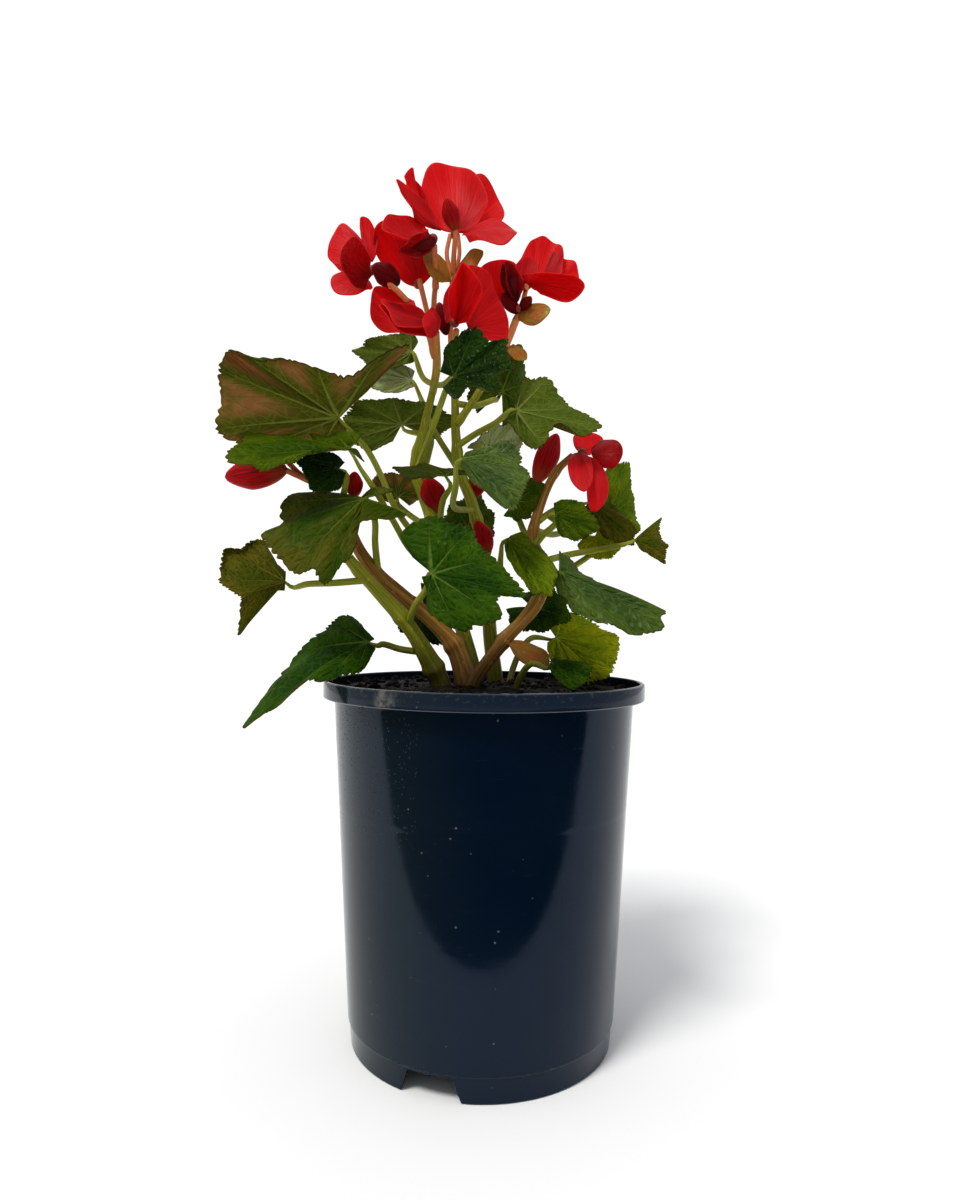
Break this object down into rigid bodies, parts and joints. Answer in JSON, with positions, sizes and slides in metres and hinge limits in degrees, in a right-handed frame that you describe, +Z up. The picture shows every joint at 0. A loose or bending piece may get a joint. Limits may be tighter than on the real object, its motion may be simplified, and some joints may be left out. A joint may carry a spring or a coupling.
{
  "type": "potted begonia",
  "caption": "Potted begonia with toothed palmate leaves, clusters of red flowers and flattened buds on branching stems, in a round plastic nursery pot full of soil.",
  "frame": {"origin": "on the surface the pot stands on, under the centre of the box round the whole plant, about 21 mm from the axis of the pot", "axes": "+Z up, -Y towards the side the plant is seen from, +X to the right of that view"},
  "size_m": [0.2762, 0.2, 0.5595],
  "materials": {
    "pot": "glossy blue-black injection-moulded plastic, lightly scuffed",
    "soil": "dark crumbly potting soil",
    "stem": "fleshy olive-green stem, slightly glossy",
    "brown_stem": "fleshy tan to red-brown stem, slightly glossy",
    "leaf": "dark to mid green leaf with paler veins, wet gloss above, paler below",
    "petal": "bright red petal, finely veined, soft sheen",
    "bud": "dark red bud, slightly glossy"
  },
  "bodies": {
    "root": {"bloom_cupped": "petal", "bloom_front": "petal", "bloom_hanging": "petal", "bloom_left": "petal", "bloom_lower_left": "petal", "bloom_middle": "petal", "bloom_right": "petal", "bloom_right_cup": "petal", "bloom_top": "petal", "bud_centre": "bud", "bud_centre_back": "bud", "bud_left": "bud", "bud_left_back": "bud", "bud_left_inner": "bud", "bud_low_centre": "bud", "bud_right_back": "bud", "bud_top": "bud", "leaf_back_left": "leaf", "leaf_back_right": "leaf", "leaf_back_top": "leaf", "leaf_behind_stems": "leaf", "leaf_centre_back": "leaf", "leaf_centre_edge": "leaf", "leaf_centre_right": "leaf", "leaf_dark_right": "leaf", "leaf_far_left": "leaf", "leaf_front": "leaf", "leaf_front_right": "leaf", "leaf_inner_right": "leaf", "leaf_left_bright": "leaf", "leaf_left_inner": "leaf", "leaf_left_roof": "leaf", "leaf_left_small": "leaf", "leaf_long_right": "leaf", "leaf_low_back": "leaf", "leaf_low_left": "leaf", "leaf_low_right": "leaf", "leaf_right_behind": "leaf", "leaf_right_bright": "leaf", "leaf_right_grey": "leaf", "leaf_right_small": "leaf", "leaf_right_tip": "leaf", "leaf_right_upper": "leaf", "leaf_soil_right": "leaf", "leaf_top_back": "leaf", "leaf_top_centre": "leaf", "leaf_upper_left": "leaf", "pot": "pot", "soil": "soil", "stem_back": "stem", "stem_brown": "brown_stem", "stem_centre": "stem", "stem_left": "stem", "stem_tan": "brown_stem"}
  },
  "joints": []
}
